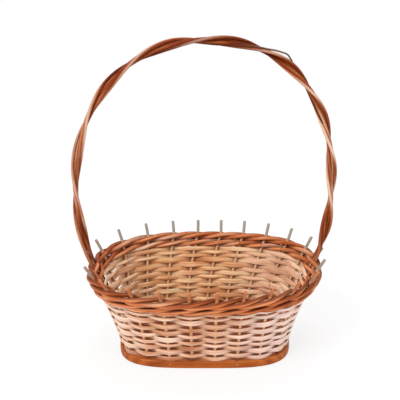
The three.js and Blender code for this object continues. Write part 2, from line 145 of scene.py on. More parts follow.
def feed(node, values):
    # Each input takes a value, or the socket that feeds it
    for key, value in values.items():
        socket = pick(node.inputs, key) if isinstance(key, str) else node.inputs[key]
        if isinstance(value, bpy.types.NodeSocket):
            node.id_data.links.new(value, socket)
        else:
            socket.default_value = value


columnWidth, rowHeight = 190, 170


def add(tree, kind, values={}, out=0, **settings):
    # Adds a node to the right of those that feed it, and gives the output named, or all of them
    node = tree.nodes.new(kind)
    for name, value in settings.items():
        setattr(node, name, value)
    feed(node, values)
    feeders = [v.node.location.x for v in values.values() if isinstance(v, bpy.types.NodeSocket)]
    across = max(feeders, default=0) + columnWidth
    node.location = (across, -rowHeight * sum(other.location.x == across for other in tree.nodes))
    if out is None:
        return node.outputs
    return pick(node.outputs, out) if isinstance(out, str) else node.outputs[out]


def maths(operation, *values, **settings):
    # The sum is done in the tree of the first socket among its values
    tree = next(v.id_data for v in values if isinstance(v, bpy.types.NodeSocket))
    return add(tree, "ShaderNodeMath", dict(enumerate(values)), operation=operation, **settings)


def times(value, factor):
    return maths("MULTIPLY", value, factor)


def ranged(value, low, high, toLow=0, toHigh=1, kind="SMOOTHSTEP"):
    return add(value.id_data, "ShaderNodeMapRange", {
        "Value": value, "From Min": low, "From Max": high, "To Min": toLow, "To Max": toHigh,
    }, interpolation_type=kind)


def split(vector):
    return add(vector.id_data, "ShaderNodeSeparateXYZ", {0: vector}, None)


def vectorMaths(operation, first, second):
    return add(first.id_data, "ShaderNodeVectorMath", {0: first, 1: second}, operation=operation)


def combined(x, y, z):
    return add(z.id_data, "ShaderNodeCombineXYZ", {"X": x, "Y": y, "Z": z})


def fineNoise(vector, scale, detail, roughness=0.5):
    return add(vector.id_data, "ShaderNodeTexNoise", {
        "Vector": vector, "Scale": scale, "Detail": detail, "Roughness": roughness})


def objectSpot(tree):
    return add(tree, "ShaderNodeTexCoord", {}, "Object")


def newTree(name, kind, inputs, outputs):
    # A socket is given by its type's name, or by the number that it starts from
    tree = bpy.data.node_groups.new(name, kind)
    for way, sockets in (("INPUT", inputs), ("OUTPUT", outputs)):
        for title, start in sockets.items():
            socketType = start if isinstance(start, str) else type(start).__name__.title()
            socket = tree.interface.new_socket(name=title, in_out=way, socket_type="NodeSocket" + socketType)
            if not isinstance(start, str):
                socket.default_value = start
    return tree, tree.nodes.new("NodeGroupInput").outputs, tree.nodes.new("NodeGroupOutput")


def carriedField(tree, name, kind="FLOAT"):
    return add(tree, "GeometryNodeInputNamedAttribute", {"Name": name}, "Attribute", data_type=kind)


def finishTree(geometry, given, made):
    # Every geometry tree ends with real faces that carry its finish
    whole = add(geometry.id_data, "GeometryNodeRealizeInstances", {"Geometry": geometry})
    finished = add(geometry.id_data, "GeometryNodeSetMaterial", {"Geometry": whole, "Material": given["Finish"]})
    feed(made, {0: finished})


def newObject(name, data):
    made = bpy.data.objects.new(name, data)
    bpy.context.scene.collection.objects.link(made)
    return made


def pointsMesh(name, points, edges, vectors, numbers={}):
    # Points in millimetres, with what each of them carries
    mesh = bpy.data.meshes.new(name)
    mesh.from_pydata((points * mm).tolist(), edges, [])
    for kind, key, layers in (("FLOAT_VECTOR", "vector", vectors), ("FLOAT", "value", numbers)):
        for title, values in layers.items():
            held = np.broadcast_to(values, (len(points), 3) if key == "vector" else len(points))
            mesh.attributes.new(title, kind, "POINT").data.foreach_set(key, held.astype(np.float32).ravel())
    return newObject(name, mesh)


def runTree(target, tree, values):
    # Puts the tree on an object, with its inputs found by their sockets' identifiers
    modifier = target.modifiers.new(tree.name, "NODES")
    modifier.node_group = tree
    sockets = {item.name: item.identifier for item in tree.interface.items_tree if item.in_out == "INPUT"}
    for name, value in values.items():
        modifier[sockets[name]] = value


def plainMesh(source, name, sharpAngle):
    # Turns the evaluated object into an ordinary mesh object with no modifier left on it
    graph = bpy.context.evaluated_depsgraph_get()
    mesh = bpy.data.meshes.new_from_object(
        source.evaluated_get(graph), preserve_all_data_layers=True, depsgraph=graph)
    mesh.name = name
    bpy.data.objects.remove(source)
    mesh.shade_smooth()
    mesh.set_sharp_from_angle(angle=math.radians(sharpAngle))
    return newObject(name, mesh)


def settle(piece, node):
    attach(piece, "root")
    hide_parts(node)


def makeStrandTree():
    # Sweeps a flattened round section along a line, with the size and the facing that its points carry
    tree, given, made = newTree("sweepStrand", "GeometryNodeTree", {
        "Line": "Geometry", "Section Sides": 10, "Section Squareness": 1.0, "Surface Wander": 0.0001,
        "Wander Scale": 120.0, "Seed": 1, "Finish": "Material",
    }, {"Strand": "Geometry"})

    def carried(name, kind="FLOAT"):
        return carriedField(tree, name, kind)

    def keep(geometry, name, value, kind="FLOAT"):
        return add(tree, "GeometryNodeStoreNamedAttribute", {
            "Geometry": geometry, "Name": name, "Value": value}, data_type=kind, domain="POINT")

    position = add(tree, "GeometryNodeInputPosition")
    line = add(tree, "GeometryNodeMeshToCurve", {"Mesh": given["Line"]})
    line = keep(line, "linePoint", position, "FLOAT_VECTOR")
    circle = add(tree, "GeometryNodeCurvePrimitiveCircle", {
        "Resolution": given["Section Sides"], "Radius": 1}, mode="RADIUS")
    circle = keep(circle, "sectionSpot", position, "FLOAT_VECTOR")
    swept = add(tree, "GeometryNodeCurveToMesh", {"Curve": line, "Profile Curve": circle, "Fill Caps": True})

    # The circle's two coordinates, pushed outwards for a squarer section, then scaled to size
    section = split(carried("sectionSpot", "FLOAT_VECTOR"))

    def squared(coordinate, size):
        power = maths("POWER", maths("ABSOLUTE", coordinate), given["Section Squareness"])
        return times(times(maths("SIGN", coordinate), power), carried(size))

    across, through = squared(section["X"], "halfWidth"), squared(section["Y"], "halfThickness")
    spot = combined(carried("travel"), across, through)

    # Hand-split wood isn't even, so its surface wanders a little in and out
    noise = add(tree, "ShaderNodeTexNoise", {
        "Vector": spot, "W": given["Seed"], "Scale": given["Wander Scale"], "Detail": 1}, noise_dimensions="4D")
    wander = times(maths("SUBTRACT", noise, 0.5), given["Surface Wander"])

    def pushed(direction, amount, part):
        return add(tree, "ShaderNodeVectorMath", {
            0: carried(direction, "FLOAT_VECTOR"), "Scale": maths("MULTIPLY_ADD", wander, part, amount),
        }, operation="SCALE")

    both = vectorMaths("ADD", pushed("sideways", across, section["X"]), pushed("outward", through, section["Y"]))
    place = vectorMaths("ADD", carried("linePoint", "FLOAT_VECTOR"), both)

    # The grain follows the strand; recess marks the faces turned into the weave and edge the section's sides,
    # where the finish paints shade
    facing = times(carried("side"), section["Y"])
    swept = keep(swept, "strandSpot", spot, "FLOAT_VECTOR")
    swept = keep(swept, "recess", maths("MULTIPLY_ADD", facing, -0.5, 0.5, use_clamp=True))
    swept = keep(swept, "edge", maths("ABSOLUTE", section["X"]))
    swept = keep(swept, "pithFace", ranged(section["Y"], 0.3, -0.3, kind="LINEAR"))
    swept = add(tree, "GeometryNodeSetPosition", {"Geometry": swept, "Position": place})
    used = ("linePoint", "sectionSpot", "sideways", "outward", "halfWidth", "halfThickness", "travel", "side")
    for name in used:
        swept = add(tree, "GeometryNodeRemoveAttribute", {"Geometry": swept, "Name": name})
    finishTree(swept, given, made)
    return tree


strandTree = makeStrandTree()


# Each strand starts further along the grain, in millimetres, so that no two look alike
grainShift, shiftRepeat = 977, 89


def makeStrand(look, number, seed, points, outward, sideways, halfWidth, halfThickness, side, tint):
    # One strand from its middle line in millimetres, with what each of its points carries
    name = look["piece"].format(number)
    finish = bpy.data.materials.get(look["name"]) or makeWillow(look)
    travel = travelled(points) + grainShift * (seed % shiftRepeat)
    edges = [(i, i + 1) for i in range(len(points) - 1)]
    source = pointsMesh(name + "_line", points, edges, {"outward": outward, "sideways": sideways},
                        {"halfWidth": halfWidth * mm, "halfThickness": halfThickness * mm, "travel": travel * mm,
                         "side": side, "tint": tint})
    runTree(source, strandTree, {
        "Section Sides": look["sectionSides"], "Section Squareness": look["squareness"],
        "Surface Wander": look["wander"] * mm, "Wander Scale": look["wanderScale"], "Seed": seed,
        "Finish": finish})
    piece = plainMesh(source, name, 50)
    # A section laid out left-handed comes out of the sweep with its faces turned inwards
    if np.cross(sideways[0], outward[0]) @ (points[1] - points[0]) < 0:
        piece.data.flip_normals()
    settle(piece, look["node"].format(number))


# How the fibres and leaf scars are drawn on every strand
grain = {"scarFrom": 0.02, "scarTo": 0.13, "scarHeight": 0.6, "fibreLow": 0.36, "fibreHigh": 0.64}


def drawnOut(spot, share):
    # The spot with its length cut down, which draws a texture out along X
    parts = split(spot)
    return parts, combined(times(parts["X"], share), parts["Y"], parts["Z"])


def makeGrainGroup():
    tree, given, made = newTree("willowGrain", "ShaderNodeTree", {
        "Along": "Vector", "Fibre Scale": 900.0, "Fibre Length": 0.06, "Patch Scale": 30.0, "Scar Scale": 34.0,
    }, {"Fibre": "Float", "Patch": "Float", "Scar": "Float", "Height": "Float"})
    parts, drawn = drawnOut(given["Along"], given["Fibre Length"])
    fibre = fineNoise(drawn, given["Fibre Scale"], 3, 0.62)
    patch = fineNoise(given["Along"], given["Patch Scale"], 2)
    scar = add(tree, "ShaderNodeTexVoronoi", {
        "Vector": given["Along"], "Scale": given["Scar Scale"]}, "Distance", feature="F1")
    scar = ranged(scar, grain["scarFrom"], grain["scarTo"], 1, 0)
    height = maths("MULTIPLY_ADD", scar, grain["scarHeight"], fibre)
    feed(made, {"Fibre": fibre, "Patch": patch, "Scar": scar, "Height": height})
    return tree


grainGroup = makeGrainGroup()


def linear(tone):
    # A colour as it is seen, from 0 to 255, as the linear values that a shader takes
    parts = [value / 255 for value in tone]
    return tuple(p / 12.92 if p <= 0.04045 else ((p + 0.055) / 1.055) ** 2.4 for p in parts) + (1,)


def mix(share, below, above, blend="MIX"):
    # Two colours, each a socket or a tone from 0 to 255, mixed by a socket's share
    below, above = (linear(colour) if isinstance(colour, tuple) else colour for colour in (below, above))
    return add(share.id_data, "ShaderNodeMix", {"Factor": share, "A": below, "B": above}, "Result",
               data_type="RGBA", blend_type=blend)


def toneRamp(level, tones):
    # Evenly spaced tones, read by a level from 0 to 1
    colour = add(level.id_data, "ShaderNodeValToRGB", {"Fac": level})
    stops = colour.node.color_ramp.elements
    stops[0].color, stops[1].color = linear(tones[0]), linear(tones[-1])
    for i, tone in enumerate(tones[1:-1], 1):
        stops.new(i / (len(tones) - 1)).color = linear(tone)
    return colour


def newMaterial(name):
    material = bpy.data.materials.new(name)
    material.use_nodes = True
    return material, material.node_tree, material.node_tree.nodes["Principled BSDF"]


def woodSurface(shader, look, colour, fibre, height):
    bump = add(shader.id_data, "ShaderNodeBump", {
        "Strength": look["bump"], "Distance": look["bumpDistance"] * mm, "Height": height})
    feed(shader, {
        "Base Color": colour, "Normal": bump, "Roughness": ranged(fibre, 0, 1, *look["roughness"], kind="LINEAR"),
        "Specular IOR Level": look["shine"], "Coat Weight": look["varnish"],
        "Coat Roughness": look["varnishRoughness"]})


def makeWillow(look):
    # Willow with its fibres along the strand, with painted shade where it is turned into the weave and along its
    # edges
    material, tree, shader = newMaterial(look["name"])

    def carried(name, output="Fac"):
        return add(tree, "ShaderNodeAttribute", {}, output, attribute_name=name)

    def over(value, name, toLow, toHigh):
        # Follows a length between two that the look names in millimetres
        return ranged(value, look[name + "From"] * mm, look[name + "To"] * mm, toLow, toHigh)

    tint, recess, edge = (carried(name) for name in ("tint", "recess", "edge"))
    sizes = {name: look[name] for name in ("Fibre Scale", "Fibre Length", "Patch Scale", "Scar Scale")}
    marks = add(tree, "ShaderNodeGroup", {"Along": carried("strandSpot", "Vector"), **sizes}, None,
                node_tree=grainGroup)
    level = maths("MULTIPLY_ADD", marks["Patch"], look["patchShare"], tint)
    colour = toneRamp(maths("SUBTRACT", level, look["patchShare"] / 2), look["tones"])
    fibres = ranged(marks["Fibre"], grain["fibreLow"], grain["fibreHigh"], kind="LINEAR")
    colour = mix(times(fibres, look["fibreDepth"]), colour, look["fibreTone"], "MULTIPLY")
    colour = mix(times(marks["Scar"], look["scarDepth"]), colour, look["scarTone"])
    sharpness = look["recessSharpness"]
    if "pithTone" in look:
        # The inner face of a split strip shows the yellower pith side
        pith = carried("pithFace")
        colour = mix(times(pith, look["pithDepth"]), colour, look["pithTone"], "MULTIPLY")
        # The strips towards both ends are made rosier and paler, less so on their inner faces
        fromMiddle = maths("ABSOLUTE", maths("SUBTRACT", split(objectSpot(tree))["X"], look["rosyMiddle"] * mm))
        most = maths("MULTIPLY_ADD", pith, (look["rosyInside"] - 1) * look["rosyDepth"], look["rosyDepth"])
        colour = mix(over(fromMiddle, "rosy", 0, most), colour, look["rosyTone"])
        sharpness = maths("MULTIPLY_ADD", pith, look["insideSharpness"], sharpness)
    # Painted shade along the section's edges, where neighbouring strips or rods meet
    edgeShade = times(maths("POWER", edge, look["edgeSharpness"]), look["edgeDepth"])
    colour = mix(edgeShade, colour, look["shadeTone"])
    # Painted shade on faces turned into the weave, and on handle rods on the faces towards the rope's middle
    deep = times(maths("POWER", recess, sharpness), look["recessDepth"])
    if "pithTone" in look:
        # On the wall's inner side the painted shade is weaker
        deep = times(deep, maths("MULTIPLY_ADD", pith, -look["insideShadeRelief"], 1))
    colour = mix(deep, colour, look["shadeTone"])
    if "crestTones" in look:
        # Painted sheen: the rope's outer faces are painted pale along each rod, and paler where the rod itself is
        crest = maths("POWER", maths("SUBTRACT", 1, recess), look["crestSharpness"])
        colour = mix(times(crest, look["crestDepth"]), colour, mix(tint, *look["crestTones"]))
    if "tipTone" in look:
        # Bare ends above the border have greyed in the light, and those at the front are stained
        spot = split(objectSpot(tree))
        tipTone = mix(over(spot["Y"], "front", 0, 1), look["frontTone"], look["tipTone"])
        colour = mix(over(spot["Z"], "tip", 0, look["tipDepth"]), colour, tipTone)
        # Painted shade: each stake is darkened a little way up from its foot, where the bottom row's slots lie in
        # shade
        colour = mix(over(spot["Z"], "foot", look["footShadeDepth"], 0), colour, look["footShadeTone"])
    woodSurface(shader, look, colour, marks["Fibre"], marks["Height"])
    return material


# Split willow strips, woven over one stake and under the next in one long spiral
weave = {
    "piece": "willow_strip_{}", "node": "weaver_{}", "slot": "pale_willow",
    "rowShares": [1, 1, 1.2, 1.1, 0.75, 0.8, 1.2, 0.95, 1.2, 0.95, 1.3, 1.35, 0.8, 0.8, 0.85],
    "bellyShare": 1.28, "floorGap": 0.7, "climbStakes": 3, "passes": 28, "stepsPerPass": 14,
    "thickness": 1.8, "waistShare": 1.05, "outerShare": 1.18, "innerShare": 1.08, "widthSpread": 0.08,
    "bellyPower": 1.5, "backFill": 0.46, "fillFrom": -96.0, "fillTo": -48.0,
    "rightFill": 0.3, "rightFrom": 60.0, "rightTo": 105.0,
    "heightWander": 0.2, "heightRun": 0.9, "innerDrop": 0.6, "topTuck": 1.3, "topClear": 0.3,
    "clearance": 0.06, "endGap": 0.8, "stakeGap": 35,
    "tintFrom": 0.2, "tintSpread": 0.6, "stripSpread": 0.16, "tintWander": 0.12, "tintRun": 0.37,
    "sectionSides": 12, "squareness": 0.72, "wander": 0.22, "wanderScale": 130.0, "seed": 40,
    "name": "splitWillow",
    "Fibre Scale": 400.0, "Fibre Length": 0.05, "Patch Scale": 28.0, "Scar Scale": 30.0,
    "tones": [(190, 126, 84), (226, 178, 142), (246, 212, 188), (246, 230, 204)],
    "patchShare": 0.6, "fibreDepth": 0.8, "fibreTone": (206, 158, 124),
    "scarDepth": 0.55, "scarTone": (128, 76, 44), "shadeTone": (52, 20, 4),
    "rosyTone": (244, 220, 210), "rosyMiddle": -28.0, "rosyFrom": 40.0, "rosyTo": 130.0,
    "rosyDepth": 0.66, "rosyInside": 0.3,
    "pithTone": (255, 248, 212), "pithDepth": 0.8, "insideShadeRelief": 0.15, "insideSharpness": 9.0,
    "edgeSharpness": 8.0, "edgeDepth": 0.4, "recessSharpness": 3.0, "recessDepth": 1.0,
    "roughness": (0.42, 0.62), "bump": 0.5, "bumpDistance": 0.25,
    "shine": 0.2, "varnish": 0.05, "varnishRoughness": 0.3,
}

# The handle rods run down beside the end stakes inside the wall: how far out they stand, in millimetres
flank = {
    "near": 4.3, "far": 8.4, "nearFoot": 34, "farFoot": 62, "below": 6.5, "rodRadius": 1.9, "clearance": 0.3,
    "mostHold": 0.38,
}


def flankedWidth(stakeIndex, height):
    # How far to each side of a stake the strips are held flat by the handle rods beside it
    isEnd = stakeIndex % stakeCount in (w["rightStake"], w["leftStake"])
    if not isEnd or height < flank["nearFoot"] - flank["below"]:
        return 0.0
    offset = flank["near"] if height < flank["farFoot"] - flank["below"] else flank["far"]
    return offset + flank["rodRadius"] + flank["clearance"]


def crossing(place, height):
    # How far in (-1) or out (1) a strip lies at each place
    nearest = np.round(place).astype(int)
    hold = np.empty(len(place))
    for stakeIndex in np.unique(nearest):
        here = nearest == stakeIndex
        level = float(height[here].mean())
        hold[here] = flankedWidth(int(stakeIndex), level) / stakeSpacing(float(stakeIndex), level)
    hold = np.minimum(hold, flank["mostHold"])
    share = np.clip((np.abs(place - nearest) - hold) / (0.5 - hold), 0, 1)
    return np.where(nearest % 2 == 0, -1.0, 1.0) * np.cos(share * math.pi / 2)


def strandRise():
    # The height between two strands of the border, which lie one pitch apart along the steepest wall
    stakes = np.arange(float(stakeCount))
    ups = wallFrame(stakes, np.full(len(stakes), rimHeight - border["cadRodDiameter"]))[1]
    return border["pitch"] * ups[:, 2].max()


def bandHeight():
    return (2 * border["rounds"] - 1) * strandRise() + border["cadRodDiameter"]


def weaveRows():
    # The height that each row of the weave takes, and where its middle lies, between board and border
    shares = np.array(weave["rowShares"])
    bottom = boardTop + weave["floorGap"]
    top = rimHeight - bandHeight() - flank["clearance"]
    bulge = (weave["bellyShare"] - 1) / 2
    pitches = shares * (top - bottom) / (shares.sum() + bulge * (shares[0] + shares[-1]))
    middles = bottom + bulge * pitches[0] + np.cumsum(pitches) - pitches / 2
    return pitches, middles


def weaveLevel(place, pitches, middles):
    # Each round lies level and climbs to the next row past the last few stakes
    row = np.floor(place / stakeCount).astype(int)
    left = (row + 1) * stakeCount - place
    climbed = np.maximum(0, 1 - left / weave["climbStakes"])
    above = np.minimum(row + 1, len(pitches) - 1)
    return [rows[row] * (1 - climbed) + rows[above] * climbed for rows in (middles, pitches)]


def weaveWillow():
    s = weave
    pitches, middles = weaveRows()
    total = 2 * ((len(pitches) * stakeCount - s["climbStakes"]) // 2)
    chance = np.random.default_rng(s["seed"])
    passTint = chance.uniform(0, 1, total + 2)
    stripCount = math.ceil(total / s["passes"])
    stripTint = chance.uniform(-s["stripSpread"], s["stripSpread"], stripCount)
    margin = s["endGap"] / 2 / s["stakeGap"]
    for index in range(stripCount):
        first, last = index * s["passes"], min((index + 1) * s["passes"], total)
        place = np.linspace(first + margin, last - margin, (last - first) * s["stepsPerPass"] + 1)
        height, pitch = weaveLevel(place, pitches, middles)
        wall = wallPoint(place, height)
        along, up, out = wallFrame(place, height)
        side = crossing(place, height)
        # The front shows open slots between its strips, and the rest of the wall is beaten closer
        closer = s["backFill"] * smoothBetween(wall[:, 1], s["fillFrom"], s["fillTo"])
        # Broader strips close the wall's inner side at the right end
        broader = s["rightFill"] * smoothBetween(wall[:, 0], s["rightFrom"], s["rightTo"])
        belly = np.where(side > 0, s["outerShare"] + closer, s["innerShare"] + broader)
        belly = belly + s["widthSpread"] * softNoise(place, s["seed"] + 1)
        bellied = s["waistShare"] + (belly - s["waistShare"]) * np.abs(side) ** s["bellyPower"]
        # Behind a stake a strip sags a little, except in the top and bottom rows
        fromTop = (middles[-1] - height) / pitches[-1]
        sag = s["innerDrop"] * np.minimum(side, 0) ** 2 * np.clip(fromTop + s["topClear"], 0, 1)
        lift = s["heightWander"] * softNoise(place, s["seed"] + 2, s["heightRun"]) - sag
        lift = lift * np.clip((height - middles[0]) / pitches[0], 0, 1)
        # The top row is tucked up against the border
        tuck = s["topTuck"] * np.clip(1 - fromTop, 0, 1)
        width, lift = pitch * slopeStretch(place, height) * bellied + tuck, lift + tuck / 2
        offset = side * (stake["radius"] + s["thickness"] / 2 + s["clearance"])
        points = wall + out * offset[:, None] + up * lift[:, None]
        tint = s["tintSpread"] * np.interp(place, np.arange(total + 2), passTint) + s["tintFrom"]
        tint = tint + stripTint[index] + s["tintWander"] * softNoise(place, s["seed"] + 3, s["tintRun"])
        makeStrand(s, index + 1, s["seed"] + 7 * index, points, out, up, width / 2, s["thickness"] / 2,
                   side, tint)


# Round peeled rods that stand in the board and end in short free tips
stake = {
    "piece": "standing_stake_{}", "node": "stake_{}", "slot": "stake_willow",
    "radius": 2.1, "foot": 1.0, "top": 127.0, "steps": 40, "cutBevel": 0.3, "bend": 0.4, "tintSpread": 0.3,
    "sectionSides": 14, "squareness": 1.0, "wander": 0.12, "wanderScale": 160.0, "seed": 300,
    "name": "peeledRod",
    "Fibre Scale": 1300.0, "Fibre Length": 0.04, "Patch Scale": 40.0, "Scar Scale": 24.0,
    "tones": [(222, 158, 110), (238, 184, 136), (248, 204, 164)],
    "patchShare": 0.6, "fibreDepth": 0.5, "fibreTone": (218, 176, 148),
    "scarDepth": 0.6, "scarTone": (132, 84, 56), "shadeTone": (84, 40, 16),
    "edgeSharpness": 4.0, "edgeDepth": 0.3, "recessSharpness": 1.2, "recessDepth": 0.1,
    "tipTone": (148, 140, 126), "tipFrom": 110.5, "tipTo": 114.0, "tipDepth": 0.95,
    "frontTone": (180, 104, 62), "frontFrom": -78.0, "frontTo": -34.0,
    "footShadeTone": (116, 52, 20), "footFrom": 12.0, "footTo": 18.0, "footShadeDepth": 0.9,
    "roughness": (0.45, 0.65), "bump": 0.45, "bumpDistance": 0.2,
    "shine": 0.25, "varnish": 0.0, "varnishRoughness": 0.4,
}


def standStakes():
    s = stake
    height = np.linspace(s["foot"], s["top"], s["steps"])
    height = np.concatenate([height[:-1], [s["top"] - s["cutBevel"], s["top"]]])
    radius = np.full(len(height), s["radius"])
    radius[-1] -= s["cutBevel"]
    free = smoothBetween(height, rimHeight, s["top"])
    for index in range(stakeCount):
        place = np.full(len(height), float(index))
        along, up, out = wallFrame(place, height)
        sway, tint = (np.random.default_rng(s["seed"] + start + index).uniform(-1, 1) for start in (0, 50))
        points = wallPoint(place, height) + along * (s["bend"] * free * sway)[:, None]
        makeStrand(s, index + 1, s["seed"] + index, points, out, along, radius, radius, 1.0,
                   0.5 + s["tintSpread"] * tint)


# Stained rods woven in two rounds of three on top of the strips
border = {
    "piece": "border_willow_{}", "node": "border_rod_{}", "slot": "stained_border",
    "rounds": 2, "rodsPerRound": 3, "radius": 2.75, "pitch": 5.3, "midBulge": 0.7, "roundShift": 8,
    "heightShare": 1.2, "cadRodDiameter": 5, "stepsPerStroke": 12, "endGap": 0.8, "stakeGap": 37,
    "clearance": 0.2, "heightWander": 0.15, "heightRun": 1.3, "thickSpread": 0.06, "thickRun": 2.1,
    "tintSpread": 0.3, "tintRun": 1.7, "backTint": 0.16, "backDepth": 100,
    "sectionSides": 14, "squareness": 1.0, "wander": 0.2, "wanderScale": 90.0, "seed": 500,
    "name": "stainedRod",
    "Fibre Scale": 520.0, "Fibre Length": 0.035, "Patch Scale": 26.0, "Scar Scale": 20.0,
    "tones": [(142, 64, 18), (204, 118, 64), (234, 160, 108), (250, 214, 184)],
    "patchShare": 0.9, "fibreDepth": 0.9, "fibreTone": (186, 122, 84),
    "scarDepth": 0.6, "scarTone": (92, 40, 12), "shadeTone": (82, 24, 2),
    "edgeSharpness": 3.4, "edgeDepth": 0.8, "recessSharpness": 1.5, "recessDepth": 0.6,
    "roughness": (0.36, 0.58), "bump": 0.5, "bumpDistance": 0.25,
    "shine": 0.1, "varnish": 0.05, "varnishRoughness": 0.25,
}


def easedKeys(spots, keys, values):
    # A smooth line through evenly spaced keys, as a Catmull-Rom curve
    cell = np.clip(np.floor(spots).astype(int) - keys[0], 1, len(keys) - 3)
    t = spots - (cell + keys[0])
    a, b, c, d = values[cell - 1], values[cell], values[cell + 1], values[cell + 2]
    return 0.5 * (2 * b + (c - a) * t + (2 * a - 5 * b + 4 * c - d) * t ** 2 + (3 * b - a - 3 * c + d) * t ** 3)


def layBorder():
    s = border
    half = s["pitch"] / 2
    rise = strandRise()
    lowest = rimHeight - bandHeight() + s["cadRodDiameter"] / 2
    # How a rod lies at each half stroke: outside low, outside high, then inside behind the third stake
    sideways, bulging, upward = [1, 1, 1, 0, -1, 0], [0, 1, 0, 0, 0, 0], [-half, 0, half, half, 0, -half]
    margin = s["endGap"] / 2 / s["stakeGap"]
    for strand in range(s["rounds"] * s["rodsPerRound"]):
        ring, rod = divmod(strand, s["rodsPerRound"])
        start, end = rod + 2, stakeCount + (rod + 1) % 3 + 2
        stroke = np.linspace(start + margin, end - margin, (end - start) * s["stepsPerStroke"] + 1)
        place = stroke + ring * s["roundShift"]
        keys = np.arange(2 * start - 2, 2 * end + 3)
        side, bulge, lift = (easedKeys(stroke * 2, keys, np.array(cycle, float)[(keys - 2 * rod) % 6])
                             for cycle in (sideways, bulging, upward))
        height = np.full(len(place), lowest + rise * (2 * ring + 0.5))
        along, up, out = wallFrame(place, height)
        offset = side * (stake["radius"] + s["clearance"] + s["radius"]) + bulge * s["midBulge"]
        lift = lift + s["heightWander"] * softNoise(place, s["seed"] + strand, s["heightRun"])
        points = wallPoint(place, height) + out * offset[:, None] + up * lift[:, None]
        thick = s["radius"] * (1 + s["thickSpread"] * softNoise(place, s["seed"] + 20 + rod, s["thickRun"]))
        tint = 0.5 + s["tintSpread"] * softNoise(place, s["seed"] + 30 + strand, s["tintRun"])
        # Towards the back the rods are painted lighter, a painted highlight on the far side of the border
        tint = tint + s["backTint"] * smooth(points[:, 1] / s["backDepth"])
        makeStrand(s, strand + 1, s["seed"] + strand + 1, points, out, up, thick * s["heightShare"], thick,
                   side, tint)


# The handle: four rods twisted to the left, whose ends fan out and run down beside the end stakes
handle = {
    "piece": "handle_willow_{}", "node": "handle_rod_{}", "slot": "stained_handle",
    "rodRadius": 2.12, "rodPitch": 4.1, "stagger": 1.1, "legHeight": 103, "leftBulge": 16.6, "rightBulge": 18.4,
    "archRise": 200.5, "leftSquareness": 2.08, "rightSquareness": 2.35,
    "halfTurns": 9, "twistSkew": 0.17, "twistStop": 15, "fanHeight": 23, "staggerStart": 0.35, "staggerEnd": 0.7,
    "legSteps": 5, "archSteps": 24, "lineSteps": 4000, "lookAhead": 0.6, "ringsPerRod": 62, "finePoints": 340,
    "leastReach": 0.4, "thickSpread": 0.05, "thickWaves": 20, "tintSpread": 0.34, "tintWaves": 25,
    "sectionSides": 16, "squareness": 1.0, "wander": 0.2, "wanderScale": 80.0, "seed": 700,
    "name": "stainedHandleRod",
    "Fibre Scale": 480.0, "Fibre Length": 0.03, "Patch Scale": 22.0, "Scar Scale": 16.0,
    "tones": [(104, 36, 2), (154, 70, 22), (202, 122, 72), (242, 204, 174)],
    "patchShare": 0.8, "fibreDepth": 0.9, "fibreTone": (186, 126, 92),
    "scarDepth": 0.6, "scarTone": (80, 34, 12), "shadeTone": (76, 24, 2),
    "edgeSharpness": 3.0, "edgeDepth": 0.22, "recessSharpness": 1.6, "recessDepth": 0.62,
    "crestTones": [(122, 90, 72), (222, 194, 172)], "crestSharpness": 6.5, "crestDepth": 0.74,
    "innerSide": 0.2, "innerTint": -0.06,
    "tintHeights": [140, 215, 290, 400], "tintLevels": [-0.08, 0.4, 0.36, -0.17], "footSide": 0.5,
    "roughness": (0.36, 0.58), "bump": 0.5, "bumpDistance": 0.25,
    "shine": 0.08, "varnish": 0.04, "varnishRoughness": 0.25,
}


def centripetal(points, count):
    # A centripetal Catmull-Rom curve through the points, sampled evenly by its parameter
    ends = np.concatenate([[2 * points[0] - points[1]], points, [2 * points[-1] - points[-2]]])
    spots = np.linspace(0, len(points) - 1, count)
    cell = np.minimum(np.floor(spots).astype(int), len(points) - 2)
    t = (spots - cell)[:, None]
    a, b, c, d = (ends[cell + i] for i in range(4))
    first, middle, last = (np.maximum(np.linalg.norm(q - p, axis=-1, keepdims=True) ** 0.5, 1e-4)
                           for p, q in ((a, b), (b, c), (c, d)))
    startSlope = ((b - a) / first - (c - a) / (first + middle) + (c - b) / middle) * middle
    endSlope = ((c - b) / middle - (d - b) / (middle + last) + (d - c) / last) * middle
    return (b + startSlope * t + (-3 * b + 3 * c - 2 * startSlope - endSlope) * t ** 2
            + (2 * b - 2 * c + startSlope + endSlope) * t ** 3)


rightEnd, leftEnd = (wallPoint(float(w[end]), float(rimHeight)) for end in ("rightStake", "leftStake"))
handleAcross = unit(rightEnd - leftEnd)
handleBack = np.cross([0, 0, 1], handleAcross)
halfSpan = np.linalg.norm(rightEnd - leftEnd) / 2


def handleLine():
    # Two legs that lean out from the rim, joined by an arch with a fuller right half
    h = handle
    below = 1 - np.arange(h["legSteps"]) / h["legSteps"]
    angle = math.pi * (1 - np.arange(h["archSteps"] + 1) / h["archSteps"])
    onLeft = np.cos(angle) < -1e-9
    widest = np.where(onLeft, -1, 1) * (halfSpan + np.where(onLeft, h["leftBulge"], h["rightBulge"]))
    power = 2 / np.where(onLeft, h["leftSquareness"], h["rightSquareness"])
    leftLeg, rightLeg = (halfSpan + h[bulge] * (1 - below ** 2) for bulge in ("leftBulge", "rightBulge"))
    across = np.concatenate([-leftLeg, widest * np.abs(np.cos(angle)) ** power, rightLeg[::-1]])
    legHeight = h["legHeight"] * (1 - below)
    arch = h["legHeight"] + h["archRise"] * np.abs(np.sin(angle)) ** power
    height = np.concatenate([legHeight, arch, legHeight[::-1]])
    flat = (rightEnd + leftEnd) / 2 + across[:, None] * handleAcross
    return centripetal(flat + height[:, None] * np.array([0, 0, 1]), h["lineSteps"])


handleFine = handleLine()
handleTravel = travelled(handleFine)
handleLength = handleTravel[-1]


def ropeTurns(distance):
    # The rods are twisted tighter towards the right, and stay untwisted just above the right rim
    share = np.clip(distance / (handleLength - handle["twistStop"]), 0, 1)
    return handle["halfTurns"] * share * (1 - handle["twistSkew"] + handle["twistSkew"] * share)


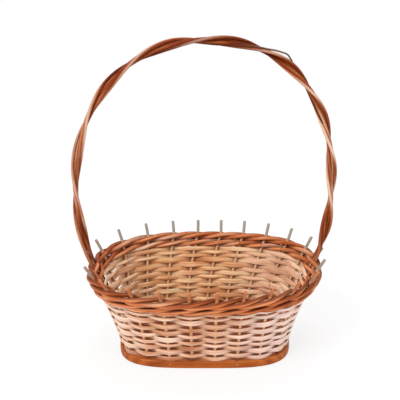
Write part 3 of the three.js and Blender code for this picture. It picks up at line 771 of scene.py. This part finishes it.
def ropeAxes(distance):
    point, ahead, behind = (readLine(handleFine, handleTravel, distance + step * handle["lookAhead"])
                            for step in (0, 1, -1))
    outward = np.cross(unit(ahead - behind), handleBack)
    angle = -math.pi * ropeTurns(distance)[..., None]
    wide = handleBack * np.cos(angle) + outward * np.sin(angle)
    thin = -handleBack * np.sin(angle) + outward * np.cos(angle)
    return point, outward, wide, thin


rodSpacing = math.sqrt(handle["rodPitch"] ** 2 - (2 * handle["stagger"]) ** 2)


def footRun(foot, stakeIndex, fan):
    top = rimHeight - border["pitch"]
    height = foot + (top - foot) * np.arange(handle["legSteps"]) / (handle["legSteps"] - 1)
    return wallPoint(stakeIndex + fan / stakeSpacing(float(stakeIndex), height), height)


def squareTo(vectors, along):
    return vectors - along * np.einsum("ij,ij->i", vectors, along)[:, None]


def twistHandle():
    s = handle
    distance = handleLength * np.arange(1, s["ringsPerRod"]) / s["ringsPerRod"]
    point, outward, wide, thin = ropeAxes(distance)
    closing = np.minimum(distance, handleLength - distance) / s["fanHeight"]
    staggered = smoothBetween(closing, s["staggerStart"], s["staggerEnd"])
    reached = np.concatenate([np.zeros(s["legSteps"]), distance, np.full(s["legSteps"], handleLength)])
    spots = np.linspace(0, 1, s["finePoints"])
    middle = readLine(handleFine, handleTravel, np.interp(spots, np.linspace(0, 1, len(reached)), reached))
    for number in range(1, 5):
        isInner = number in (2, 3)
        fan = math.copysign(flank["near"] if isInner else flank["far"], number - 2.5)
        foot = flank["nearFoot"] if isInner else flank["farFoot"]
        across = fan + ((number - 2.5) * rodSpacing - fan) * smooth(closing)
        stagger = s["stagger"] * (-1) ** number * staggered
        rope = point + wide * across[:, None] + thin * stagger[:, None]
        leftFoot, rightFoot = (footRun(foot, w[end], -fan) for end in ("leftStake", "rightStake"))
        points = centripetal(np.concatenate([leftFoot, rope, rightFoot[::-1]]), s["finePoints"])
        along = unit(np.gradient(points, axis=0))
        # The rod's outer face looks away from the middle of the rope
        away = squareTo(points - middle, along)
        far = np.linalg.norm(away, axis=1)[:, None]
        away = unit(squareTo(np.where(far > s["leastReach"], away / np.maximum(far, 1e-6), handleBack), along))
        thick = s["rodRadius"] * (1 + s["thickSpread"] * softNoise(spots * s["thickWaves"], s["seed"] + number))
        tint = 0.5 + s["tintSpread"] * softNoise(spots * s["tintWaves"], s["seed"] + 10 + number)
        tint = tint + np.interp(points[:, 2], s["tintHeights"], s["tintLevels"]) + s["innerTint"] * isInner
        # The side sets the painted sheen on the outer faces and the painted shade towards the rope's middle: full
        # only on the two outer rods, and less near the wall
        side = np.interp(points[:, 2], s["tintHeights"][:2], [s["footSide"], 1.0])
        makeStrand(s, number, s["seed"] + number, points, away, np.cross(along, away), thick, thick,
                   s["innerSide"] if isInner else side, tint)


# The thin rod that lies in the notch between the last two rods and has sprung away over a short stretch
stray = {
    "piece": "handle_thin_rod", "node": "handle_stray_rod",
    "radius": 1.15, "peakTurns": 5.45, "before": 140, "after": 100, "rise": 28, "return": 20,
    "lift": 5.6, "kink": 1.2, "steps": 38, "finePoints": 200, "endSteps": 8, "endShare": 0.6,
    "greyRun": 62, "greyCore": 1.2, "tintFrom": 0.12, "tintSpread": 0.76, "seed": 760, "name": "weatheredRod",
    "tones": [(112, 52, 20), (132, 78, 48), (134, 116, 96), (160, 148, 130)],
    "fibreTone": (190, 170, 150), "crestTones": [(128, 84, 58), (160, 148, 130)],
}


def springStrayRod():
    # It takes what its own dictionary doesn't name from the handle's
    s = {**handle, **stray}
    reach = flank["rodRadius"] + flank["clearance"] + s["radius"]
    depth = math.sqrt(reach ** 2 - (s["rodPitch"] / 2) ** 2)
    wideSpot = rodSpacing + depth * 2 * s["stagger"] / s["rodPitch"]
    thinSpot = -depth * rodSpacing / s["rodPitch"]
    spots = np.linspace(0, handleLength, s["lineSteps"])
    peak = np.interp(s["peakTurns"], ropeTurns(spots), spots)
    distance = peak - s["before"] + (s["before"] + s["after"]) * np.arange(s["steps"] + 1) / s["steps"]
    point, outward, wide, thin = ropeAxes(distance)
    away = np.maximum(0, 1 - np.abs(distance - peak) / np.where(distance < peak, s["rise"], s["return"]))
    points = point + wide * wideSpot + thin * thinSpot + outward * (s["lift"] * away ** s["kink"])[:, None]
    points = centripetal(points, s["finePoints"])
    along = unit(np.gradient(points, axis=0))
    facing = unit(squareTo(np.broadcast_to(handleBack, points.shape), along))
    count = np.arange(len(points))
    ends = np.minimum(count, count[::-1]) / s["endSteps"]
    # It has greyed where it stands free
    grey = smooth(s["greyCore"] - np.abs(distance - peak) / s["greyRun"])
    grey = np.interp(count / count[-1], np.linspace(0, 1, len(distance)), grey)
    thick = s["radius"] * (s["endShare"] + (1 - s["endShare"]) * smooth(ends))
    makeStrand(s, 1, s["seed"], points, facing, np.cross(along, facing), thick, thick, 1.0,
               s["tintFrom"] + s["tintSpread"] * grey)


weaveWillow()
print("strips woven")
standStakes()
print("stakes stood")
layBorder()
print("border laid")
twistHandle()
springStrayRod()
print("handle twisted")

# Base board of stained wood: rounded edges, upright holes for the stakes, seats for the brads
board = {
    "edgeRound": 1.6, "outlinePoints": 260, "roundSteps": 5, "holeRadius": 2.35, "holeSides": 28,
    "seatRadius": 1.55, "seatDepth": 0.7, "bradHeight": 4.75, "bradEvery": 3, "edgeSteps": 4000,
    "edgeNearby": 0.0005, "arrisEnd": 0.1, "topFrom": 1.0, "topTo": 0.2,
    "name": "stainedBoard", "grainLength": 0.07, "fibreScale": 630.0, "blotchScale": 26.25,
    "ringScale": 36.0, "ringShare": 0.45, "toneShift": 0.22,
    "tones": [(142, 68, 12), (184, 100, 30), (210, 128, 54)],
    "grainDepth": 0.9, "grainTone": (186, 120, 72), "arrisHighlightTone": (216, 148, 90), "arrisHighlightDepth": 0.3,
    "insideShadeTone": (92, 32, 6), "insideShadeDepth": 0.9, "insideFrom": 0.88, "insideTo": 0.94,
    "roughness": (0.4, 0.6), "bump": 0.35, "bumpDistance": 0.3,
    "shine": 0.15, "varnish": 0.08, "varnishRoughness": 0.25,
}

# Brads: domed steel heads on round shanks, tarnished by the stain
brad = {
    "headRadius": 1.3, "headHeight": 0.75, "shankRadius": 0.7, "stakeClearance": 0.3,
    "name": "tarnishedSteel", "steel": (216, 184, 148), "tarnish": (160, 118, 80), "tarnishScale": 900.0,
    "tarnishFrom": 0.4, "tarnishTo": 0.6, "roughness": (0.32, 0.6),
}


def boardEdge(inset, count):
    # Points round the board, moved in square to its outline
    outline = oval(w["boardLength"], w["boardWidth"], w["boardSquareness"])[0]
    share = np.arange(count) / count
    along = unit(outline(share + board["edgeNearby"]) - outline(share - board["edgeNearby"]))
    return outline(share) - inset * np.stack([along[:, 1], -along[:, 0]], -1)


def makeBoardBlank():
    s = board
    count = s["outlinePoints"]
    turned = np.linspace(0, math.pi / 2, s["roundSteps"] + 1)
    insets, drops = s["edgeRound"] * (1 - np.sin(turned)), s["edgeRound"] * (1 - np.cos(turned))
    insets = np.concatenate([insets, insets[::-1]])
    heights = np.concatenate([drops, boardTop - drops[::-1]])
    rings = [np.c_[boardEdge(inset, count), np.full(count, height)] for inset, height in zip(insets, heights)]
    a = np.arange(len(rings) * count).reshape(-1, count)
    b = np.roll(a, -1, axis=1)
    sides = np.stack([a[:-1], b[:-1], b[1:], a[1:]], -1).reshape(-1, 4)
    mesh = bpy.data.meshes.new("board_blank")
    faces = [a[0, ::-1].tolist(), a[-1].tolist(), *sides.tolist()]
    mesh.from_pydata((np.concatenate(rings) * mm).tolist(), [], faces)
    return newObject("board_blank", mesh)


def aimedOnPoints(points, tool):
    # Stands a tool on every point, turned from upright to the way that the point carries
    tree = points.id_data
    aim = carriedField(tree, "aim", "FLOAT_VECTOR")
    turned = add(tree, "FunctionNodeAlignRotationToVector", {"Vector": aim}, axis="Z")
    return add(tree, "GeometryNodeInstanceOnPoints", {"Points": points, "Instance": tool, "Rotation": turned})


def makeDrillTree():
    tree, given, made = newTree("drillBoard", "GeometryNodeTree", {
        "Board": "Geometry", "Pattern": "Object", "Bore Radius": 0.002, "Bore Length": 0.02, "Bore Sides": 24,
        "Finish": "Material",
    }, {"Drilled": "Geometry"})
    pattern = add(tree, "GeometryNodeObjectInfo", {"Object": given["Pattern"]}, "Geometry")
    bore = add(tree, "GeometryNodeMeshCylinder", {
        "Vertices": given["Bore Sides"], "Radius": given["Bore Radius"], "Depth": given["Bore Length"]})
    bores = add(tree, "GeometryNodeRealizeInstances", {"Geometry": aimedOnPoints(pattern, bore)})
    cut = add(tree, "GeometryNodeMeshBoolean", {"Mesh 1": given["Board"], "Mesh 2": bores},
              operation="DIFFERENCE", solver="EXACT")
    finishTree(cut, given, made)
    return tree


def makeBradTree():
    tree, given, made = newTree("driveBrads", "GeometryNodeTree", {
        "Points": "Geometry", "Head Radius": 0.0013, "Head Height": 0.0007, "Shank Radius": 0.0007,
        "Shank Length": 0.002, "Finish": "Material",
    }, {"Brads": "Geometry"})
    head = add(tree, "GeometryNodeMeshUVSphere", {"Segments": 24, "Rings": 14, "Radius": 1})
    size = combined(given["Head Radius"], given["Head Radius"], given["Head Height"])
    head = add(tree, "GeometryNodeTransform", {"Geometry": head, "Scale": size})
    shank = add(tree, "GeometryNodeMeshCylinder", {
        "Vertices": 16, "Radius": given["Shank Radius"], "Depth": given["Shank Length"]})
    behind = combined(0, 0, times(given["Shank Length"], -0.5))
    shank = add(tree, "GeometryNodeTransform", {"Geometry": shank, "Translation": behind})
    whole = add(tree, "GeometryNodeJoinGeometry", {"Geometry": head})
    feed(whole.node, {"Geometry": shank})
    finishTree(aimedOnPoints(given["Points"], whole), given, made)
    return tree


def bradSeats():
    # Where each brad's head meets the edge of the board, and the way out of the board there
    outline = boardEdge(0, board["edgeSteps"])
    seats = []
    for stakeIndex in np.arange(0.0, stakeCount, board["bradEvery"]):
        foot = footPoint(stakeIndex)
        out = unit(wallFrame(stakeIndex, 0.0)[2][:2])
        apart = outline - foot
        forward = apart @ out
        sideways = np.abs(apart[:, 0] * out[1] - apart[:, 1] * out[0])
        reach = forward[(forward > 0) & (sideways < brad["headRadius"])].min()
        seats.append((np.array([*(foot + out * reach), board["bradHeight"]]), np.array([*out, 0.0]), reach))
    return seats


def makeBoardFinish():
    # Board with its grain running lengthwise, stained through and worn a little on the edges
    s = board
    material, tree, shader = newMaterial(s["name"])
    where = objectSpot(tree)
    parts, drawn = drawnOut(where, s["grainLength"])
    rings = add(tree, "ShaderNodeTexWave", {
        "Vector": drawn, "Scale": s["ringScale"], "Distortion": 7, "Detail": 2, "Detail Scale": 0.6,
    }, "Fac", wave_type="BANDS", bands_direction="Y")
    fibre, blotch = fineNoise(drawn, s["fibreScale"], 3), fineNoise(where, s["blotchScale"], 2)
    level = maths("MULTIPLY_ADD", rings, s["ringShare"], blotch)
    colour = toneRamp(maths("SUBTRACT", level, s["toneShift"]), s["tones"])
    colour = mix(times(fibre, s["grainDepth"]), colour, s["grainTone"], "MULTIPLY")
    # The rounded arrises are painted paler in patches, a painted highlight along the board's edges
    half = boardTop / 2
    fromMiddle = maths("ABSOLUTE", maths("SUBTRACT", parts["Z"], half * mm))
    arris = ranged(fromMiddle, (half - s["edgeRound"]) * mm, (half - s["arrisEnd"]) * mm, 0, s["arrisHighlightDepth"])
    colour = mix(times(arris, blotch), colour, s["arrisHighlightTone"])
    # Painted shade: inside the wall the board's top face is darkened, as if in the basket's shadow
    shares = vectorMaths("DIVIDE", where, (w["boardLength"] * mm / 2, w["boardWidth"] * mm / 2, 1))
    shares = split(shares)
    raised = [maths("POWER", maths("ABSOLUTE", shares[i]), w["boardSquareness"]) for i in (0, 1)]
    outwards = maths("POWER", maths("ADD", *raised), 1 / w["boardSquareness"])
    insideShadeShare = ranged(outwards, s["insideFrom"], s["insideTo"], s["insideShadeDepth"], 0)
    onTop = ranged(parts["Z"], (boardTop - s["topFrom"]) * mm, (boardTop - s["topTo"]) * mm)
    colour = mix(times(insideShadeShare, onTop), colour, s["insideShadeTone"])
    woodSurface(shader, s, colour, fibre, fibre)
    return material


def makeBradFinish():
    s = brad
    material, tree, shader = newMaterial(s["name"])
    where = objectSpot(tree)
    spots = fineNoise(where, s["tarnishScale"], 3)
    share = ranged(spots, s["tarnishFrom"], s["tarnishTo"])
    feed(shader, {"Base Color": mix(share, s["steel"], s["tarnish"]), "Metallic": 1,
                  "Roughness": ranged(share, 0, 1, *s["roughness"], kind="LINEAR")})
    return material


def layBoard():
    s = board
    finish = makeBoardFinish()
    tree = makeDrillTree()
    blank = makeBoardBlank()
    feet = footPoint(np.arange(float(stakeCount)))
    heads, aims = (np.array(part) for part in list(zip(*bradSeats()))[:2])
    holes = pointsMesh("stake_holes", np.c_[feet, np.full(len(feet), boardTop / 2)], [], {"aim": (0, 0, 1)})
    seats = pointsMesh("brad_seats", heads, [], {"aim": aims})
    for pattern, radius, depth in ((holes, s["holeRadius"], boardTop), (seats, s["seatRadius"], s["seatDepth"])):
        runTree(blank, tree, {"Pattern": pattern, "Bore Radius": radius * mm, "Bore Length": 2 * depth * mm,
                              "Bore Sides": s["holeSides"], "Finish": finish})
    piece = plainMesh(blank, "drilled_board", 40)
    for pattern in (holes, seats):
        bpy.data.objects.remove(pattern)
    settle(piece, "base_board")


def driveBrads():
    s = brad
    finish = makeBradFinish()
    tree = makeBradTree()
    for number, (head, aim, reach) in enumerate(bradSeats(), 1):
        source = pointsMesh(f"brad_spot_{number}", (head - aim * s["headHeight"])[None, :], [], {"aim": aim})
        length = reach - s["headHeight"] - stake["radius"] - s["stakeClearance"]
        runTree(source, tree, {
            "Head Radius": s["headRadius"] * mm, "Head Height": s["headHeight"] * mm,
            "Shank Radius": s["shankRadius"] * mm, "Shank Length": length * mm, "Finish": finish})
        settle(plainMesh(source, f"domed_brad_{number}", 50), f"brad_{number}")


layBoard()
driveBrads()
print("board drilled and pinned")

# Studio: pale floor, white backdrop, soft lamps
studio = {
    "floorHalf": 10.0, "floorGrey": 0.86, "whiteFrom": 0.28, "whiteTo": 0.7,
    "floorWhite": 0.78, "worldGlow": 0.6, "lampAim": (0, 0, 0.15),
    "lamps": [
        {"name": "key", "spot": (-1.3, -1.7, 2.1), "size": 1.3, "power": 54},
        {"name": "fill", "spot": (1.9, -1.3, 1.1), "size": 1.8, "power": 11},
        {"name": "top", "spot": (0.1, 0.9, 2.4), "size": 1.6, "power": 26},
    ],
}


def seenRay(tree):
    # 1 for what the camera or a reflection sees, 0 for what lights the basket
    path = add(tree, "ShaderNodeLightPath", {}, None)
    return maths("MAXIMUM", path["Is Camera Ray"], path["Is Glossy Ray"])


def makeFloor():
    s = studio
    half = s["floorHalf"]
    mesh = bpy.data.meshes.new("floor")
    mesh.from_pydata([(-half, -half, 0), (half, -half, 0), (half, half, 0), (-half, half, 0)], [], [(0, 1, 2, 3)])
    floor = newObject("floor", mesh)
    material, tree, shader = newMaterial("paleFloor")
    feed(shader, {"Base Color": (*[s["floorGrey"]] * 3, 1), "Roughness": 0.9})
    glow = add(tree, "ShaderNodeEmission", {"Color": (1, 1, 1, 1)})
    where = objectSpot(tree)
    far = add(tree, "ShaderNodeVectorMath", {0: where}, "Value", operation="LENGTH")
    share = times(seenRay(tree), ranged(far, s["whiteFrom"], s["whiteTo"], s["floorWhite"], 1))
    lit = add(tree, "ShaderNodeMixShader", {"Fac": share, 1: shader.outputs["BSDF"], 2: glow})
    feed(tree.nodes["Material Output"], {"Surface": lit})
    mesh.materials.append(material)


def makeWorld():
    world = bpy.data.worlds.new("studioWorld")
    bpy.context.scene.world = world
    world.use_nodes = True
    strength = ranged(seenRay(world.node_tree), 0, 1, studio["worldGlow"], 1, "LINEAR")
    feed(world.node_tree.nodes["Background"], {"Color": (1, 1, 1, 1), "Strength": strength})


def hangLamps():
    for lamp in studio["lamps"]:
        data = bpy.data.lights.new(lamp["name"], "AREA")
        data.shape = "DISK"
        data.size = lamp["size"]
        data.energy = lamp["power"]
        light = newObject(lamp["name"], data)
        light.location = lamp["spot"]
        aim = Vector(studio["lampAim"]) - Vector(lamp["spot"])
        light.rotation_euler = aim.to_track_quat("-Z", "Y").to_euler()


# The photograph's view: what the camera looks at, from how far, and how it is turned
view = {
    "lens": 84.09, "sensor": 36.0, "distance": 1249.6, "aimAcross": -4.45, "aimHeight": 203.8,
    "pitch": 19.0, "yaw": -1.8, "roll": -0.81,
}


def makeCamera():
    s = view
    data = bpy.data.cameras.new("photoCamera")
    data.lens = s["lens"]
    data.sensor_width = s["sensor"]
    camera = newObject("photoCamera", data)
    pitch, yaw, roll = (math.radians(s[key]) for key in ("pitch", "yaw", "roll"))
    aim = Matrix.Translation(Vector((s["aimAcross"], 0, s["aimHeight"])) * mm)
    turned = Matrix.Rotation(turn / 4 - pitch, 4, "X") @ Matrix.Rotation(roll, 4, "Z")
    back = Matrix.Translation((0, 0, s["distance"] * mm))
    camera.matrix_world = Matrix.Rotation(-yaw, 4, "Z") @ aim @ turned @ back
    bpy.context.scene.camera = camera


makeFloor()
makeWorld()
hangLamps()
makeCamera()
bpy.context.scene.view_settings.view_transform = "Standard"
print("studio set")
